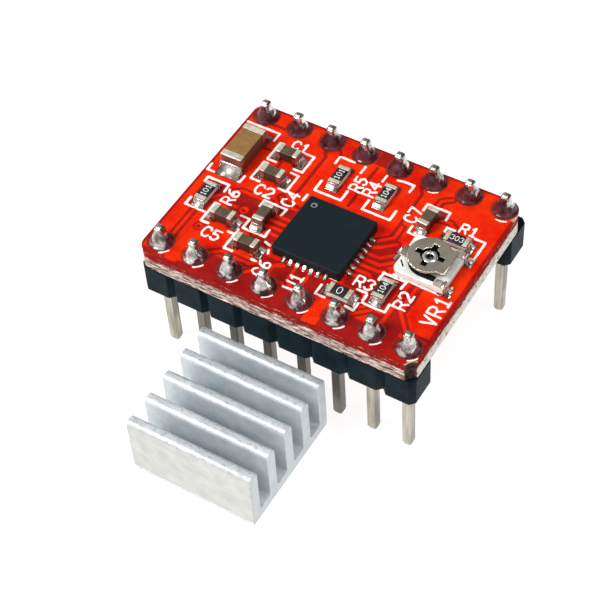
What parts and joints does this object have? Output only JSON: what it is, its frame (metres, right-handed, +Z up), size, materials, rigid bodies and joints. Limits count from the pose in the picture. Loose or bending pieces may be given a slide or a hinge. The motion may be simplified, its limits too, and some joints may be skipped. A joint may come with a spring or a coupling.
{
  "type": "stepper motor driver module",
  "caption": "Small plug-in stepper motor driver board with a leadless driver chip, ceramic passives, a turning current trimmer, pin headers and a loose finned heatsink.",
  "frame": {"origin": "middle of the 2 x 8 pin pattern, at the plane of the pin tips", "axes": "+Z up, away from the pin tips; X along the pin rows; +Y from the heatsink side to the far pin row"},
  "size_m": [0.0199, 0.0242, 0.0111],
  "materials": {
    "pcb_laminate": "glossy red solder mask over glass-epoxy laminate, pale rough cut edges",
    "tinned_copper": "tin-plated copper pads and hole barrels",
    "header_plastic": "satin black moulded plastic with fine mould texture",
    "pin_metal": "tin-plated square wire, lightly brushed along its length",
    "solder": "bright uneven solder",
    "mold_compound": "fine-grained dark epoxy moulding",
    "lead_metal": "tin-plated copper contacts",
    "silicon": "polished silicon",
    "capacitor_ceramic_tan": "satin tan fired ceramic",
    "capacitor_ceramic_grey": "satin grey-brown fired ceramic",
    "termination_metal": "dull tin-plated end caps",
    "resistor_ceramic": "black glass cover on a pale ceramic chip",
    "alumina": "matt white alumina",
    "resistive_ink": "printed black resistive ink",
    "nickel": "pressed nickel-plated sheet",
    "heatsink_aluminium": "plain extruded aluminium, worn bright along the fin tops",
    "adhesive_tape": "pale double-sided thermal tape"
  },
  "bodies": {
    "module": {"board_copper": "tinned_copper", "bulk_capacitor_body": "capacitor_ceramic_tan", "bulk_capacitor_ends": "termination_metal", "capacitor_1_body": "capacitor_ceramic_grey", "capacitor_1_ends": "termination_metal", "capacitor_2_body": "capacitor_ceramic_grey", "capacitor_2_ends": "termination_metal", "capacitor_3_body": "capacitor_ceramic_grey", "capacitor_3_ends": "termination_metal", "capacitor_4_body": "capacitor_ceramic_grey", "capacitor_4_ends": "termination_metal", "capacitor_5_body": "capacitor_ceramic_grey", "capacitor_5_ends": "termination_metal", "capacitor_6_body": "capacitor_ceramic_grey", "capacitor_6_ends": "termination_metal", "chip_die": "silicon", "chip_leads": "lead_metal", "chip_mold_body": "mold_compound", "chip_thermal_pad": "lead_metal", "header_back": "header_plastic", "header_front": "header_plastic", "pcb": "pcb_laminate", "pin_back_1": "pin_metal", "pin_back_2": "pin_metal", "pin_back_3": "pin_metal", "pin_back_4": "pin_metal", "pin_back_5": "pin_metal", "pin_back_6": "pin_metal", "pin_back_7": "pin_metal", "pin_back_8": "pin_metal", "pin_front_1": "pin_metal", "pin_front_2": "pin_metal", "pin_front_3": "pin_metal", "pin_front_4": "pin_metal", "pin_front_5": "pin_metal", "pin_front_6": "pin_metal", "pin_front_7": "pin_metal", "pin_front_8": "pin_metal", "resistor_1_body": "resistor_ceramic", "resistor_1_ends": "termination_metal", "resistor_2_body": "resistor_ceramic", "resistor_2_ends": "termination_metal", "resistor_3_body": "resistor_ceramic", "resistor_3_ends": "termination_metal", "resistor_4_body": "resistor_ceramic", "resistor_4_ends": "termination_metal", "resistor_5_body": "resistor_ceramic", "resistor_5_ends": "termination_metal", "resistor_6_body": "resistor_ceramic", "resistor_6_ends": "termination_metal", "smd_solder": "solder", "solder_back": "solder", "solder_front": "solder", "trimmer_base": "alumina", "trimmer_end_terminals": "nickel", "trimmer_track": "resistive_ink", "trimmer_wiper_terminal": "nickel"},
    "rotor": {"trimmer_rotor": "nickel"},
    "loose_heatsink": {"heatsink": "heatsink_aluminium", "heatsink_adhesive_pad": "adhesive_tape"}
  },
  "joints": [
    {"name": "trimmer_turn", "type": "hinge", "parent": "module", "child": "rotor", "pos_m": [0.00697, -0.00014, 0.00975], "axis": [0, 0, 1], "range_deg": [-130, 130]},
    {"name": "heatsink_lift", "type": "slide", "parent": "module", "child": "loose_heatsink", "axis": [0, 0, 1], "range_m": [0, 0.02]}
  ]
}
